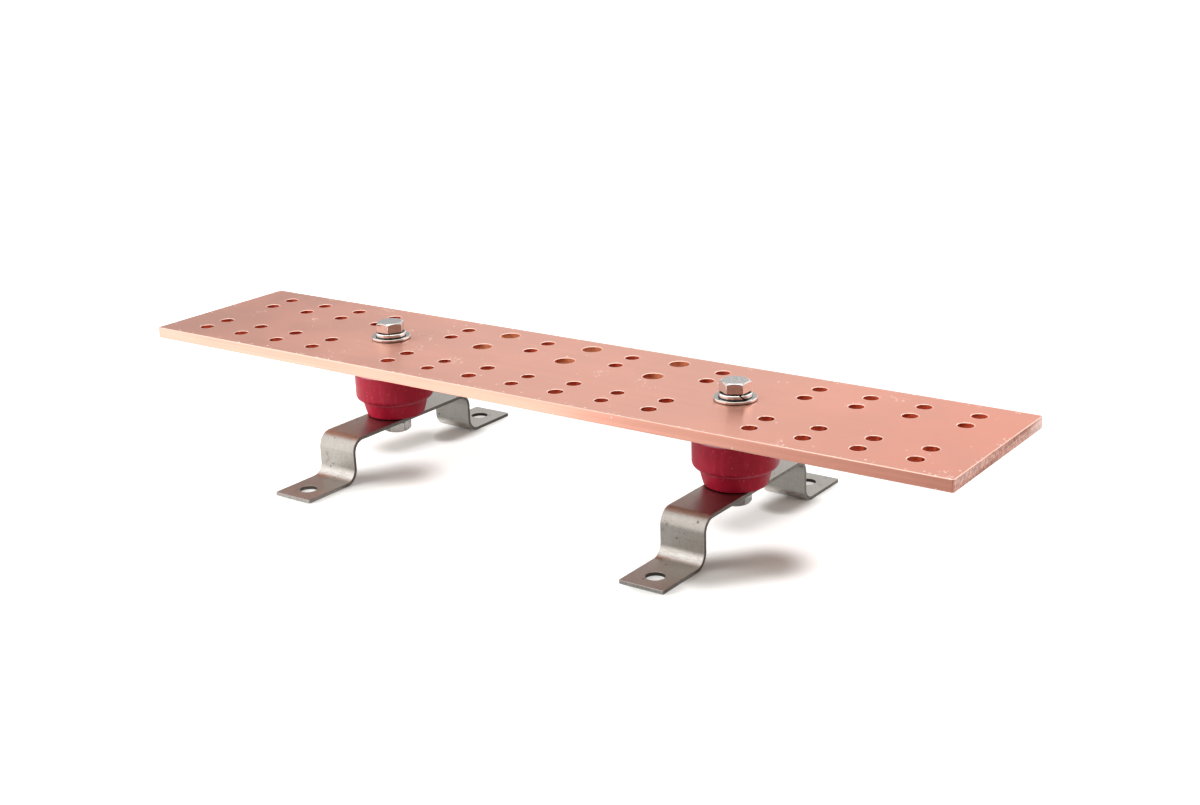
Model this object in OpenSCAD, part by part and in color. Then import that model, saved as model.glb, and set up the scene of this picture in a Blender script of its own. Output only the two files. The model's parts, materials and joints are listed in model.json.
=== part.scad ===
// Rack grounding busbar: a drilled copper bar on two moulded standoff insulators,
// each bolted to a bent strip bracket that screws to a rack, a wall or a floor.
// +X runs along the bar and +Z is up. The origin is on the floor, below the middle of the bar.

/* [Busbar] */
// Length of the bar
bar_l = 508; // [420:1:620]
// Width of the bar
bar_w = 101.6; // [84:0.1:130]
// Thickness of the bar
bar_t = 6.35; // [5:0.05:10]
// Flat break on every edge of the bar
bar_edge = 0.5; // [0.2:0.1:1]
// Radius of the corners of the bar, seen from above
bar_corner_r = 1; // [0.6:0.1:5]

/* [Lug holes] */
// Distance between neighbouring columns of holes
column_pitch = 28.575; // [23.8:0.005:34.3]
// Least distance from the end of the bar to the middle of a column
end_margin = 20; // [16:1:40]
// Column that carries each standoff, counted from the middle of the bar
standoff_column = 4; // [3:1:5]
// Diameter of a standard lug hole
lug_hole_d = 7.94; // [6.6:0.01:9.6]
// Distance between the two holes of a standard pair
lug_spacing = 15.875; // [13:0.005:19.1]
// Distance from the edge of the bar to the outer hole of a standard pair
lug_edge = 15.875; // [13:0.005:19.1]
// Number of columns, on each side of the middle one, from one odd column to the next
odd_step = 2; // [2:1:3]
// Diameter of the small holes that the odd columns have along the front
small_hole_d = 7.14; // [5.9:0.01:8.6]
// Distance between the two holes of a small pair
small_spacing = 14.3; // [12:0.1:17.2]
// Diameter of the large holes that the odd columns have along the back
large_hole_d = 11.1; // [9.2:0.1:13.4]
// Distance between the two holes of a large pair
large_spacing = 25.4; // [21:0.1:28]
// Distance from the edge of the bar to the outer hole of a large pair
large_edge = 13.3; // [11:0.1:16]
// Flat break on the rims of every hole in the bar
hole_edge = 0.3; // [0.1:0.1:0.6]

/* [Insulators] */
// Height of a standoff, from the bracket to the bar
insulator_h = 38.1; // [31.7:0.1:60]
// Diameter of the wide band around the middle
drum_d = 44.5; // [40:0.1:54]
// Height of the wide band
drum_h = 19.05; // [15.8:0.05:23]
// Radius of the rounded shoulders of the band
shoulder_r = 3.3; // [1:0.1:5]
// Diameter of the cone where it leaves the band
neck_d = 37.6; // [35:0.1:39]
// Diameter of the cone at the end of the insulator
end_d = 33; // [28:0.1:35]
// Flat break around the end of the insulator
end_edge = 0.6; // [0.2:0.1:1.5]
// Width of the mould's parting lip at the foot of each shoulder
lip_w = 0.35; // [0.1:0.05:0.6]
// Height of the parting lip
lip_h = 0.5; // [0.2:0.1:1]

/* [Threaded inserts] */
// Wall of an insert around its thread
insert_wall = 3.2; // [2.4:0.1:4]
// Length of an insert
insert_l = 12.7; // [10.6:0.1:15.2]
// Thickness of the closed end of an insert
insert_floor = 1.2; // [0.8:0.1:2]
// How far an insert stands out of the moulding
insert_proud = 0.4; // [0:0.1:0.8]
// Width of the groove that locks an insert in the moulding
insert_groove_w = 3; // [2:0.1:4]
// Depth of that groove
insert_groove_depth = 1; // [0.5:0.1:1.5]
// Countersink at the mouth of an insert
insert_mouth = 0.6; // [0.3:0.1:1]

/* [Fasteners] */
// Diameter of the bolt threads
thread_d = 9.525; // [7.9:0.005:11.5]
// Length of thread that each bolt has inside its insert
thread_engagement = 8.6; // [7:0.1:9]
// Flat break at the tip of a bolt
tip_edge = 1.2; // [0.6:0.1:1.6]
// Size of a bolt head across its flats
head_af = 14.29; // [13:0.01:17.2]
// Height of a bolt head, with its bearing face
head_h = 5.95; // [5:0.05:7.2]
// How far the flat crown lies inside the flats of the head
crown_inset = 0.5; // [0.3:0.1:1]
// Slope of the chamfer around the crown, in degrees
crown_slope = 30; // [20:1:40]
// Height of the round bearing face below the head
bearing_h = 0.4; // [0.2:0.1:0.6]
// How far the bearing face lies inside the flats of the head
bearing_inset = 0.3; // [0.1:0.1:0.8]
// How far the left and right bar bolts are turned, in degrees
bar_bolt_turns = [1, 28]; // [0:1:59]
// How far the left and right bracket bolts are turned, in degrees
bracket_bolt_turns = [44, 36]; // [0:1:59]
// Outer diameter of a flat washer
flat_washer_d = 22.2; // [18.5:0.1:26]
// Thickness of a flat washer
flat_washer_t = 1.7; // [1.4:0.1:2.4]
// Flat break on the edges of a flat washer
flat_washer_edge = 0.25; // [0.1:0.05:0.5]
// Width of the ring of a lock washer
lock_washer_w = 3.5; // [2.9:0.1:3.7]
// Thickness of a lock washer
lock_washer_t = 2.4; // [2:0.1:3]
// Flat break on the outer edges of a lock washer
lock_washer_edge = 0.45; // [0.2:0.05:0.7]
// Width of the split in a lock washer
split_gap = 0.7; // [0.4:0.1:1.2]
// Slant of the split from upright, in degrees
split_slant = 45; // [30:1:55]
// Where the left and right bar lock washers are split, in degrees around the bolt
bar_split_turns = [118, -34]; // [-180:1:180]
// Where the left and right bracket lock washers are split, in degrees around the bolt
bracket_split_turns = [152, 75]; // [-180:1:180]

/* [Brackets] */
// Height of a bracket
bracket_h = 25.4; // [22:0.1:40]
// Length of the arch, outside its legs
arch_l = 101.6; // [84.6:0.1:130]
// Length of each foot, from the outside of its leg
foot_l = 36.5; // [30.4:0.1:44]
// Width of the strip
strip_w = 25.4; // [21.1:0.1:30.5]
// Thickness of the strip
strip_t = 2; // [1.6:0.1:3]
// Inner radius of the bends
bend_r = 6.35; // [5.2:0.05:7.7]
// Radius of the corners of the feet
foot_corner_r = 0.8; // [0.4:0.1:3]
// Diameter of the hole in each foot
foot_hole_d = 10.3; // [8.6:0.1:13.4]
// Distance from the end of a foot to its hole
foot_hole_edge = 12.7; // [10.5:0.1:15.3]

/* [Fits] */
// Diametral clearance of the bolts in the bar, the brackets and the washers
bolt_clearance = 0.8; // [0.4:0.1:1.2]
// Diametral clearance of the threads in the inserts
thread_clearance = 0.08; // [0.04:0.02:0.2]
// Hair gap kept around an insert in its moulding
insert_fit = 0.05; // [0.02:0.01:0.1]

/* [Hidden] */
// How far a cut runs past the faces that it opens
over = 1;
// Facets of the round faces on screen
$fn = 96;

bar_bottom = bracket_h + insulator_h;
bar_top = bar_bottom + bar_t;
bracket_under = bracket_h - strip_t;
clear_hole_d = thread_d + bolt_clearance;

column_count = floor((bar_l / 2 - end_margin) / column_pitch);
columns = [for (k = [-column_count : column_count]) if (abs(k) != standoff_column) k];
odd_columns = [-odd_step, 0, odd_step];
standard_columns = [for (k = columns) if (len(search(k, odd_columns)) == 0) k];
standoff_x = standoff_column * column_pitch;

insert_d = thread_d + 2 * insert_wall;
insert_bore_d = thread_d + thread_clearance;
foot_end = arch_l / 2 + foot_l;
foot_hole_y = foot_end - foot_hole_edge;

// Puts a piece on the axis of the left (-1) or right (1) standoff.
module at_standoff(side, z = 0) {
    translate([side * standoff_x, 0, z]) children();
}

// ---- Busbar ----

// Rectangle with its corners cut off at 45 degrees.
module broken_rectangle(w, h, edge) {
    polygon([
        [-w / 2 + edge, -h / 2], [w / 2 - edge, -h / 2],
        [w / 2, -h / 2 + edge], [w / 2, h / 2 - edge],
        [w / 2 - edge, h / 2], [-w / 2 + edge, h / 2],
        [-w / 2, h / 2 - edge], [-w / 2, -h / 2 + edge]
    ]);
}

// Rectangle with round corners.
module rounded_rectangle(w, h, r) {
    square([w - 2 * r, h], center = true);
    square([w, h - 2 * r], center = true);
    for (x = [-1, 1], y = [-1, 1])
        translate([x * (w / 2 - r), y * (h / 2 - r)]) circle(r);
}

// Flat bar with every edge broken, its top face at z = 0.
module bar_blank() {
    translate([0, 0, -bar_t / 2]) intersection() {
        linear_extrude(bar_t + 2 * over, center = true)
            rounded_rectangle(bar_l, bar_w, bar_corner_r);
        rotate([90, 0, 0]) linear_extrude(bar_w + 2 * over, center = true)
            broken_rectangle(bar_l, bar_t, bar_edge);
        rotate([90, 0, 90]) linear_extrude(bar_l + 2 * over, center = true)
            broken_rectangle(bar_w, bar_t, bar_edge);
    }
}

// Hole right through the bar, with both of its rims broken.
module bar_hole(x, y, d) {
    translate([x, y, -bar_t / 2]) {
        cylinder(d = d, h = bar_t + 2 * over, center = true);
        for (face = [0, 1]) mirror([0, 0, face]) translate([0, 0, bar_t / 2 - hole_edge])
            cylinder(d1 = d, d2 = d + 2 * (hole_edge + over), h = hole_edge + over);
    }
}

// Two holes across the bar. The outer one lies `edge` from the front (-1) or back (1) edge.
module hole_pair(x, side, d, spacing, edge) {
    for (y = [edge, edge + spacing]) bar_hole(x, side * (bar_w / 2 - y), d);
}

module busbar() {
    color([0.86, 0.56, 0.46]) translate([0, 0, bar_top]) difference() {
        bar_blank();
        for (k = standard_columns, side = [-1, 1])
            hole_pair(k * column_pitch, side, lug_hole_d, lug_spacing, lug_edge);
        for (k = odd_columns) {
            hole_pair(k * column_pitch, -1, small_hole_d, small_spacing, lug_edge);
            hole_pair(k * column_pitch, 1, large_hole_d, large_spacing, large_edge);
        }
        for (side = [-1, 1]) bar_hole(side * standoff_x, 0, clear_hole_d);
    }
}

// ---- Threaded inserts ----

// Outside of an insert, half of its section. Its mouth is at y = 0 and it runs down.
module insert_half_section(grow = 0) {
    r = insert_d / 2 + grow;
    groove_w = insert_groove_w - 2 * grow;
    groove_mid = insert_l / 2;
    difference() {
        translate([0, -insert_l - grow]) square([r, insert_l + grow]);
        translate([r - insert_groove_depth, -groove_mid - groove_w / 2])
            square([insert_groove_depth + over, groove_w]);
    }
}

// Round insert with a blind thread, a countersunk mouth and a locking groove.
module threaded_insert() {
    bore_l = insert_l - insert_floor;
    mouth_r = insert_bore_d / 2 + insert_mouth;
    color([0.78, 0.66, 0.38]) rotate_extrude() difference() {
        insert_half_section();
        translate([0, -bore_l]) square([insert_bore_d / 2, bore_l + over]);
        polygon([
            [0, over], [mouth_r, over], [mouth_r, 0],
            [insert_bore_d / 2, -insert_mouth], [0, -insert_mouth]
        ]);
    }
}

// ---- Insulators ----

// Upper half of the moulding, half of its section, from the middle of the band.
module insulator_quarter_section() {
    drum_r = drum_d / 2;
    neck_r = neck_d / 2;
    end_r = end_d / 2;
    half = insulator_h / 2 - insert_proud;
    square([drum_r - shoulder_r, drum_h / 2]);
    square([drum_r, drum_h / 2 - shoulder_r]);
    translate([drum_r - shoulder_r, drum_h / 2 - shoulder_r]) circle(shoulder_r);
    square([neck_r + lip_w, drum_h / 2 + lip_h]);
    polygon([
        [0, 0], [neck_r, 0], [neck_r, drum_h / 2],
        [end_r, half - end_edge], [end_r - end_edge, half], [0, half]
    ]);
}

// Round standoff: a wide band with a cone above and below, moulded around two inserts.
module insulator() {
    color([0.66, 0.1, 0.18]) difference() {
        translate([0, 0, insulator_h / 2]) rotate_extrude() {
            insulator_quarter_section();
            mirror([0, 1]) insulator_quarter_section();
        }
        translate([0, 0, insulator_h]) insert_cavity();
        mirror([0, 0, 1]) insert_cavity();
    }
}

// Space that an insert takes in the moulding, open at its mouth.
module insert_cavity() {
    rotate_extrude() {
        insert_half_section(insert_fit);
        translate([0, -over]) square([insert_d / 2 + insert_fit, 2 * over]);
    }
}

// ---- Bolts and washers ----

// Hexagon head bolt. Its bearing face is at z = 0 and the shank runs down by `reach`.
module hex_bolt(reach, turn) {
    crown_r = head_af / 2 - crown_inset;
    cone_h = head_h - bearing_h;
    color([0.8, 0.79, 0.77]) {
        cylinder(d = head_af - 2 * bearing_inset, h = bearing_h);
        translate([0, 0, bearing_h]) intersection() {
            rotate(turn) cylinder(d = head_af / cos(30), h = cone_h, $fn = 6);
            cylinder(r1 = crown_r + cone_h / tan(crown_slope), r2 = crown_r, h = cone_h);
        }
        translate([0, 0, tip_edge - reach]) cylinder(d = thread_d, h = reach - tip_edge);
        translate([0, 0, -reach])
            cylinder(d1 = thread_d - 2 * tip_edge, d2 = thread_d, h = tip_edge);
    }
}

// Plain round washer on z = 0.
module flat_washer() {
    inner = clear_hole_d / 2;
    color([0.82, 0.81, 0.79]) rotate_extrude()
        translate([(inner + flat_washer_d / 2) / 2, flat_washer_t / 2])
            broken_rectangle(flat_washer_d / 2 - inner, flat_washer_t, flat_washer_edge);
}

// Split spring washer on z = 0, flattened by its bolt, with its slanted split at `turn`.
module lock_washer(turn) {
    inner = clear_hole_d / 2;
    color([0.76, 0.75, 0.73]) difference() {
        rotate_extrude()
            translate([inner + lock_washer_w / 2, lock_washer_t / 2])
                broken_rectangle(lock_washer_w, lock_washer_t, lock_washer_edge);
        rotate(turn) translate([inner + lock_washer_w / 2, 0, lock_washer_t / 2])
            rotate([split_slant, 0, 0])
                cube([lock_washer_w + 2 * over, split_gap, 4 * lock_washer_t], center = true);
    }
}

// Bolt, lock washer and flat washer that hold the bar: all are stacked on its top face.
module bar_bolt(turn) {
    stack = flat_washer_t + lock_washer_t;
    translate([0, 0, bar_top + stack]) hex_bolt(stack + bar_t + thread_engagement, turn);
}

module bar_lock_washer(turn) {
    translate([0, 0, bar_top + flat_washer_t]) lock_washer(turn);
}

module bar_flat_washer() {
    translate([0, 0, bar_top]) flat_washer();
}

// Bolt and lock washer below the arch of a bracket, head down.
module bracket_bolt(turn) {
    translate([0, 0, bracket_under - lock_washer_t]) mirror([0, 0, 1])
        hex_bolt(lock_washer_t + strip_t + thread_engagement, turn);
}

module bracket_lock_washer(turn) {
    translate([0, 0, bracket_under - lock_washer_t]) lock_washer(turn);
}

// ---- Brackets ----

// Block that stands on y = 0, with its two top corners rounded.
module round_topped_block(half, top, r) {
    translate([-half, -over]) square([2 * half, top - r + over]);
    translate([r - half, -over]) square([2 * (half - r), top + over]);
    for (x = [-1, 1]) translate([x * (half - r), top - r]) circle(r);
}

// Concave fillet in the corner at the origin, filling towards +x and +y.
module corner_fillet(r) {
    difference() {
        square(r);
        translate([r, r]) circle(r);
    }
}

// Side view of the bent strip: what lies below its upper face, less what lies below its lower face.
module strip_section() {
    half = arch_l / 2;
    outer_r = bend_r + strip_t;
    difference() {
        union() {
            intersection() {
                round_topped_block(half, bracket_h, outer_r);
                translate([-half, 0]) square([arch_l, bracket_h]);
            }
            translate([-foot_end, 0]) square([2 * foot_end, strip_t]);
            for (side = [0, 1]) mirror([side, 0])
                translate([half, strip_t]) corner_fillet(bend_r);
        }
        round_topped_block(half - strip_t, bracket_under, bend_r);
        for (side = [0, 1]) mirror([side, 0])
            translate([half - strip_t, 0]) corner_fillet(outer_r);
    }
}

// Strip bent to an arch with two feet. The arch has a hole for the bolt, each foot one for a screw.
module bracket() {
    color([0.62, 0.58, 0.54]) difference() {
        intersection() {
            rotate([90, 0, 90]) linear_extrude(strip_w, center = true) strip_section();
            translate([0, 0, -over]) linear_extrude(bracket_h + 2 * over)
                rounded_rectangle(strip_w, 2 * foot_end, foot_corner_r);
        }
        translate([0, 0, bracket_under - over])
            cylinder(d = clear_hole_d, h = strip_t + 2 * over);
        for (side = [-1, 1]) translate([0, side * foot_hole_y, -over])
            cylinder(d = foot_hole_d, h = strip_t + 2 * over);
    }
}

// ---- Assembly ----

busbar();

at_standoff(-1, bracket_h) insulator();  // insulator_left
at_standoff(1, bracket_h) insulator();  // insulator_right

at_standoff(-1, bar_bottom) threaded_insert();  // insert_top_left
at_standoff(1, bar_bottom) threaded_insert();  // insert_top_right
at_standoff(-1, bracket_h) mirror([0, 0, 1]) threaded_insert();  // insert_bottom_left
at_standoff(1, bracket_h) mirror([0, 0, 1]) threaded_insert();  // insert_bottom_right

at_standoff(-1) bar_bolt(bar_bolt_turns[0]);  // bar_bolt_left
at_standoff(1) bar_bolt(bar_bolt_turns[1]);  // bar_bolt_right
at_standoff(-1) bar_lock_washer(bar_split_turns[0]);  // bar_lock_washer_left
at_standoff(1) bar_lock_washer(bar_split_turns[1]);  // bar_lock_washer_right
at_standoff(-1) bar_flat_washer();  // bar_flat_washer_left
at_standoff(1) bar_flat_washer();  // bar_flat_washer_right

at_standoff(-1) bracket_bolt(bracket_bolt_turns[0]);  // bracket_bolt_left
at_standoff(1) bracket_bolt(bracket_bolt_turns[1]);  // bracket_bolt_right
at_standoff(-1) bracket_lock_washer(bracket_split_turns[0]);  // bracket_lock_washer_left
at_standoff(1) bracket_lock_washer(bracket_split_turns[1]);  // bracket_lock_washer_right

at_standoff(-1) bracket();  // bracket_left
at_standoff(1) bracket();  // bracket_right
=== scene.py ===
# Rack grounding busbar: a drilled copper bar on two moulded standoff insulators, each bolted
# to a bent stainless bracket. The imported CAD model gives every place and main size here, and
# each section below finishes one kind of piece in the order in which the object is put together.
import json
from math import atan2, cos, pi, radians, sin, sqrt, tan

import bpy
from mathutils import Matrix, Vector


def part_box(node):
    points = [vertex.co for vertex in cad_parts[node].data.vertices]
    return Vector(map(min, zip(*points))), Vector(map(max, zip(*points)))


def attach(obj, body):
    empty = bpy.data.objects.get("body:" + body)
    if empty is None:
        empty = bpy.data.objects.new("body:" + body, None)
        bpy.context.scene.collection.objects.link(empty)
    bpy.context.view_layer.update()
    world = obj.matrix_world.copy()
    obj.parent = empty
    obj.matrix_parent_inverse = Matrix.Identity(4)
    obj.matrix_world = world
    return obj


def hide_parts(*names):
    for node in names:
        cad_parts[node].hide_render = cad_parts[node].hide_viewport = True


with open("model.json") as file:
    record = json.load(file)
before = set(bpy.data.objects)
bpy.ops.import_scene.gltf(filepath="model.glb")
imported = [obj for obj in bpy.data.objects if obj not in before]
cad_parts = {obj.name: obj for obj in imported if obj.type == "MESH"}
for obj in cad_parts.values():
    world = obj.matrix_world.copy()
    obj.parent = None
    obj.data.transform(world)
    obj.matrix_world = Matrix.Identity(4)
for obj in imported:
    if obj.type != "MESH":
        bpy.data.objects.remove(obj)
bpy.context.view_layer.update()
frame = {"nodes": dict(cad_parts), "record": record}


# ---- Camera ----
# A long lens, a little above the bar and off its right front corner, leaning slightly.


def in_scene(name, data):
    """A new object of the scene, at the origin."""
    made = bpy.data.objects.new(name, data)
    bpy.context.scene.collection.objects.link(made)
    return made


camera = in_scene("camera", bpy.data.cameras.new("camera"))
camera.data.sensor_width = 36
camera.data.lens = 51.596
camera.data.clip_start = 0.05
camera.data.clip_end = 60
camera.location = (0.53575, -0.70055, 0.33231)
camera.rotation_euler = (1.25943, 0.02965, 0.61457)
bpy.context.scene.camera = camera
bpy.context.scene.view_settings.view_transform = "Standard"


# ---- Studio ----
# A white room round a sheet of white paper. Three soft lamp boxes light it: one high overhead,
# one low at the left front that throws the feet's shadows to the right, and one at the right.
# The paper glows a little, a painted light that hides its shadows, except along lines beside the
# brackets, where it is left out as painted shade; from below the paper is clear.
# Reflections alone see the pale and dark cards, which give the metal its bright and dark faces.

WHITE = (1, 1, 1, 1)
floor_half = 12
fill_light = 0.38
paper_white = (0.572, 0.572, 0.542, 1)
near_glow = 0.75
glow_from, glow_whole = 0.18, 0.34


def add(tree, kind, inputs=None, **settings):
    """One node. An input is a plain value, a socket, or a node whose first output is used."""
    made = tree.nodes.new(kind)
    for key, value in settings.items():
        setattr(made, key, value)
    for key, value in (inputs or {}).items():
        if isinstance(value, bpy.types.Node):
            value = value.outputs[0]
        if isinstance(value, bpy.types.NodeSocket):
            tree.links.new(value, made.inputs[key])
        else:
            made.inputs[key].default_value = value
    return made


def maths(tree, operation, a, b=0.0):
    return add(tree, "ShaderNodeMath", {0: a, 1: b}, operation=operation)


def plus(tree, a, b):
    return maths(tree, "ADD", a, b)


def minus(tree, a, b):
    return maths(tree, "SUBTRACT", a, b)


def times(tree, a, b):
    return maths(tree, "MULTIPLY", a, b)


def larger(tree, a, b):
    return maths(tree, "MAXIMUM", a, b)


def between(tree, share, a, b):
    """A number that goes from a to b as the share goes from 0 to 1."""
    return add(tree, "ShaderNodeMix", {0: share, 2: a, 3: b})


def ramp(tree, value, low, high, to_low=0.0, to_high=1.0):
    """A smooth step between two levels as the value goes from low to high."""
    return add(tree, "ShaderNodeMapRange", {0: value, 1: low, 2: high, 3: to_low, 4: to_high},
               interpolation_type="SMOOTHSTEP")


def vectors(tree, operation, a, b=(0, 0, 0)):
    """Maths on two vectors, which gives a number for a length or a dot product."""
    made = add(tree, "ShaderNodeVectorMath", {0: a, 1: b}, operation=operation)
    return made.outputs["Value" if operation in ("LENGTH", "DOT_PRODUCT") else "Vector"]


def vector_of(tree, x=0.0, y=0.0, z=0.0):
    return add(tree, "ShaderNodeCombineXYZ", {0: x, 1: y, 2: z})


def parts_of(tree, vector):
    """The X, Y and Z of a vector."""
    return add(tree, "ShaderNodeSeparateXYZ", {0: vector}).outputs


def object_point(tree):
    return add(tree, "ShaderNodeTexCoord").outputs["Object"]


def emptied(owner):
    """The node tree of a world or a material, with nothing in it yet."""
    owner.use_nodes = True
    owner.node_tree.nodes.clear()
    return owner.node_tree


def seen_white(tree):
    """1 for what the camera sees by itself, in a reflection or through something clear."""
    path = add(tree, "ShaderNodeLightPath").outputs
    seen = plus(tree, path["Is Camera Ray"], path["Is Glossy Ray"])
    return maths(tree, "MINIMUM", plus(tree, seen, path["Is Transmission Ray"]), 1)


world = bpy.data.worlds.new("surround")
tree = emptied(world)
fill = add(tree, "ShaderNodeBackground", {"Color": WHITE, "Strength": fill_light})
white = add(tree, "ShaderNodeBackground", {"Color": WHITE, "Strength": 1})
both = add(tree, "ShaderNodeMixShader", {0: seen_white(tree), 1: fill, 2: white})
add(tree, "ShaderNodeOutputWorld", {0: both})
bpy.context.scene.world = world


def beside_bracket(tree, x, y, middle, start, stop, full, none):
    """1 nearer than full to a line on the floor beside each bracket, and 0 beyond none. The
    line's X counts from the given distance either side of the object's middle."""
    start, stop = Vector((*start, 0)), Vector((*stop, 0))
    way = stop - start
    from_middle = minus(tree, x, times(tree, maths(tree, "SIGN", x), middle))
    off = vectors(tree, "SUBTRACT", vector_of(tree, from_middle, y), start)
    share = add(tree, "ShaderNodeMapRange", {
        0: vectors(tree, "DOT_PRODUCT", off, way), 1: 0.0, 2: way.length_squared})
    nearest = vectors(tree, "MULTIPLY", way, share)
    apart = vectors(tree, "LENGTH", vectors(tree, "SUBTRACT", off, nearest))
    return ramp(tree, apart, full, none, 1.0, 0.0)


paper = bpy.data.materials.new("white paper")
tree = emptied(paper)
place = object_point(tree)
x, y, _ = parts_of(tree, place)
on_right = maths(tree, "GREATER_THAN", x, 0)
shaded = 0.0
# Along each line the painted glow is left out by the given share, so the lamps' shade shows there.
for left, right, *line in (  # the shade's share on the left and on the right, and its line
        (0.75, 0.0, 0.119, (0.012, -0.053), (0.031, -0.027), 0.003, 0.033),
        (0.0, 0.97, 0.119, (0.011, -0.055), (0.031, -0.031), 0.007, 0.030),
        (1.0, 1.0, 0.114, (0.004, 0.038), (0.006, 0.052), 0.004, 0.018),
        (0.76, 0.5, 0.118, (-0.006, 0.008), (-0.002, 0.03), 0.002, 0.022),
        (0.5, 0.5, 0.114, (0.003, -0.076), (0.003, -0.064), 0.013, 0.02),
        (0.5, 0.5, 0.114, (0, 0.066), (0, 0.076), 0.012, 0.018)):
    share = between(tree, on_right, left, right)
    shaded = larger(tree, shaded, times(tree, share, beside_bracket(tree, x, y, *line)))
glow = times(tree, near_glow, minus(tree, 1, shaded))
glow = larger(tree, ramp(tree, vectors(tree, "LENGTH", place), glow_from, glow_whole), glow)
top = add(tree, "ShaderNodeAddShader", {
    0: add(tree, "ShaderNodeBsdfDiffuse", {"Color": paper_white}),
    1: add(tree, "ShaderNodeEmission", {
        "Color": WHITE, "Strength": times(tree, seen_white(tree), glow)})})
add(tree, "ShaderNodeOutputMaterial", {0: add(tree, "ShaderNodeMixShader", {
    0: add(tree, "ShaderNodeNewGeometry").outputs["Backfacing"], 1: top,
    2: add(tree, "ShaderNodeBsdfTransparent")})})


def flat_sheet(name, points, faces, finish):
    """A floor or a card of the studio, which isn't part of the object."""
    mesh = bpy.data.meshes.new(name)
    mesh.from_pydata(points, [], faces)
    mesh.materials.append(finish)
    sheet = in_scene(name, mesh)
    return sheet


def level_corners(low_x, high_x, low_y, high_y, z):
    return [(low_x, low_y, z), (high_x, low_y, z), (high_x, high_y, z), (low_x, high_y, z)]


flat_sheet("floor", level_corners(-floor_half, floor_half, -floor_half, floor_half, 0),
           [(0, 1, 2, 3)], paper)


def card(name, points, faces, level, colour=WHITE):
    """A card that only reflections see: it shapes them and throws no light or shade."""
    finish = bpy.data.materials.new(name)
    tree = emptied(finish)
    glowing = add(tree, "ShaderNodeEmission", {"Color": colour, "Strength": level})
    add(tree, "ShaderNodeOutputMaterial", {0: glowing})
    sheet = flat_sheet(name, points, faces, finish)
    sheet.visible_camera = sheet.visible_diffuse = sheet.visible_shadow = False


def wall_card(name, start, stop, low, high, level, colour=WHITE):
    """A card bent round the object, between two angles from +X in degrees and two heights."""
    away, count = 3, 12
    angles = [radians(start + (stop - start) * i / count) for i in range(count + 1)]
    points = [(away * cos(a), away * sin(a), z) for z in (low, high) for a in angles]
    faces = [(i, i + 1, count + i + 2, count + i + 1) for i in range(count)]
    card(name, points, faces, level, colour)


def flat_card(name, low_x, high_x, low_y, high_y, level, z=0.0003):
    """A level card, just on the floor unless a height is given."""
    card(name, level_corners(low_x, high_x, low_y, high_y, z), [(0, 1, 2, 3)], level)


flat_card("left_near_card", -1.2, -0.03, -0.16, -0.06, 1.55)
flat_card("left_floor_card", -1.2, -0.05, -1.2, -0.16, 2.35)
flat_card("right_near_card", -0.03, 1.4, -0.16, -0.06, 0.75)
flat_card("right_floor_card", -0.05, 1.4, -1.2, -0.16, 0.51)
flat_card("back_floor_card", -1.2, 0.12, 0.06, 0.6, 0.5)
flat_card("under_bar_card", -0.2, 0.2, -0.03, 0.046, 0.62)
flat_card("overhead_card", -1.12, 1.4, -2.0, 1.2, 2.1, z=2.5)
wall_card("front_flag", 250, 282, 0.1, 3.5, 0.6, (1, 0.74, 0.62, 1))
wall_card("dark_flag", 282, 314, 0.1, 3.5, 0.16, (1, 0.6, 0.5, 1))
wall_card("right_front_flag", 314, 380, 0.1, 3.5, 0.52, (1, 0.74, 0.62, 1))
wall_card("left_front_card", 176, 250, 0.1, 3.5, 1.85)
wall_card("right_back_card", 30, 80, 0.6, 2.5, 2.3)
wall_card("left_back_card", 132, 137, 0.01, 1.6, 0.8)
wall_card("far_left_card", 137, 175, 0.01, 1.6, 0.56)


def lamp_box(name, place, aim, size, power):
    """A square soft lamp at a place, turned to face a point. The metal doesn't mirror it, since
    the cards make its highlights."""
    light = bpy.data.lights.new(name, "AREA")
    light.shape = "RECTANGLE"
    light.size = light.size_y = size
    light.energy = power
    light.color = (0.98, 1, 1)
    lamp = in_scene(name, light)
    lamp.location = place
    lamp.visible_glossy = False
    lamp.rotation_euler = (Vector(place) - Vector(aim)).to_track_quat("Z", "Y").to_euler()


lamp_box("overhead_box", (-0.3, 0.3, 1.6), (0, 0, 0.05), 2.0, 10)
lamp_box("left_front_box", (-0.485, -0.395, 0.25), (0, 0, 0.03), 0.42, 5.3)
lamp_box("right_box", (0.75, 0.15, 0.22), (0, 0, 0.03), 0.3, 2.0)


# ---- Copper bar ----
# Hard-drawn copper flat bar, sawn to length, drilled in pairs for two-hole cable lugs and
# deburred on both faces. It is bare metal with the mill's grain along it, handled and dusty.

MM = 0.001
bar_low, bar_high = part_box("busbar")
bar_size = bar_high - bar_low
bar_edge = 0.45 * MM
bar_corner = 1.0 * MM
bolt_hole = 10.325 * MM
hole_edge = 0.22 * MM
burnish_and_highlight = 0.32 * MM
weld = 0.03 * MM
hole_points = 56
corner_steps = 8
edge_steps = 4
sharp_from = radians(35)


def socket(tree, name, kind, default=None, into="INPUT"):
    made = tree.interface.new_socket(name, in_out=into, socket_type=kind)
    if default is not None:
        made.default_value = default
    return made


def shape_tree(name, source, lengths, finish, result):
    """A Geometry Nodes tree that turns a source into a result, and its input sockets: the
    source, lengths and angles by name, and a finish where it has one."""
    tree = bpy.data.node_groups.new(name, "GeometryNodeTree")
    socket(tree, source, "NodeSocketGeometry")
    for length in lengths:
        socket(tree, length, "NodeSocketFloat", 0.01)
    if finish:
        socket(tree, finish, "NodeSocketMaterial")
    socket(tree, result, "NodeSocketGeometry", into="OUTPUT")
    return tree, add(tree, "NodeGroupInput").outputs


def size_of(tree, a):
    """A number without its sign."""
    return maths(tree, "ABSOLUTE", a)


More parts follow.
